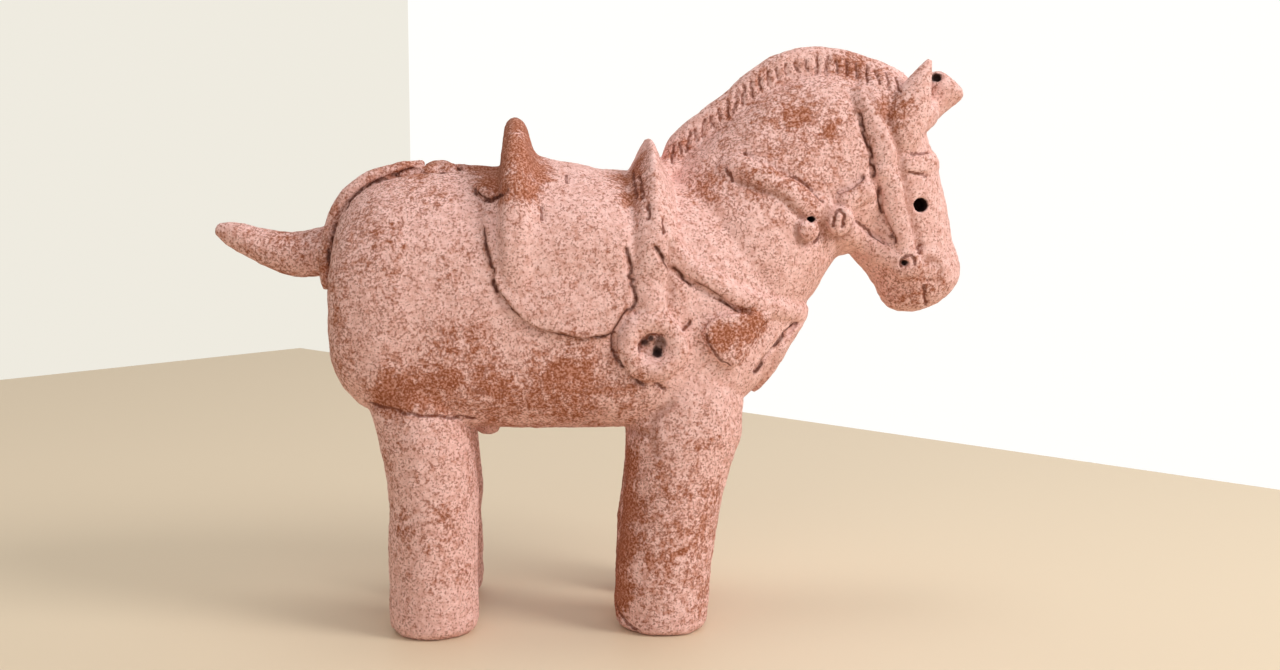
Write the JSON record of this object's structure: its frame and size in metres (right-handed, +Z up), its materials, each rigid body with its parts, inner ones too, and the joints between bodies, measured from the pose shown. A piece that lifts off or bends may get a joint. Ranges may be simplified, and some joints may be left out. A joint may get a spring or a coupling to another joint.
{
  "type": "clay horse figurine",
  "caption": "Hand-built fired clay horse in the haniwa manner, standing on thick round legs, with a saddle, stirrups, bridle, breast strap and crupper pressed on in clay.",
  "frame": {"origin": "middle of the horse's bounding box, at the plane of its soles", "axes": "+X along the body towards the head, +Y towards the horse's left side, +Z up; the side seen in the picture is -Y"},
  "size_m": [0.1452, 0.049, 0.1107],
  "materials": {
    "terracotta": "unglazed fired clay, matte and sandy, salmon pink with fine red-brown speckle and redder patches"
  },
  "bodies": {
    "root": {"haniwa_horse": "terracotta"}
  },
  "joints": []
}
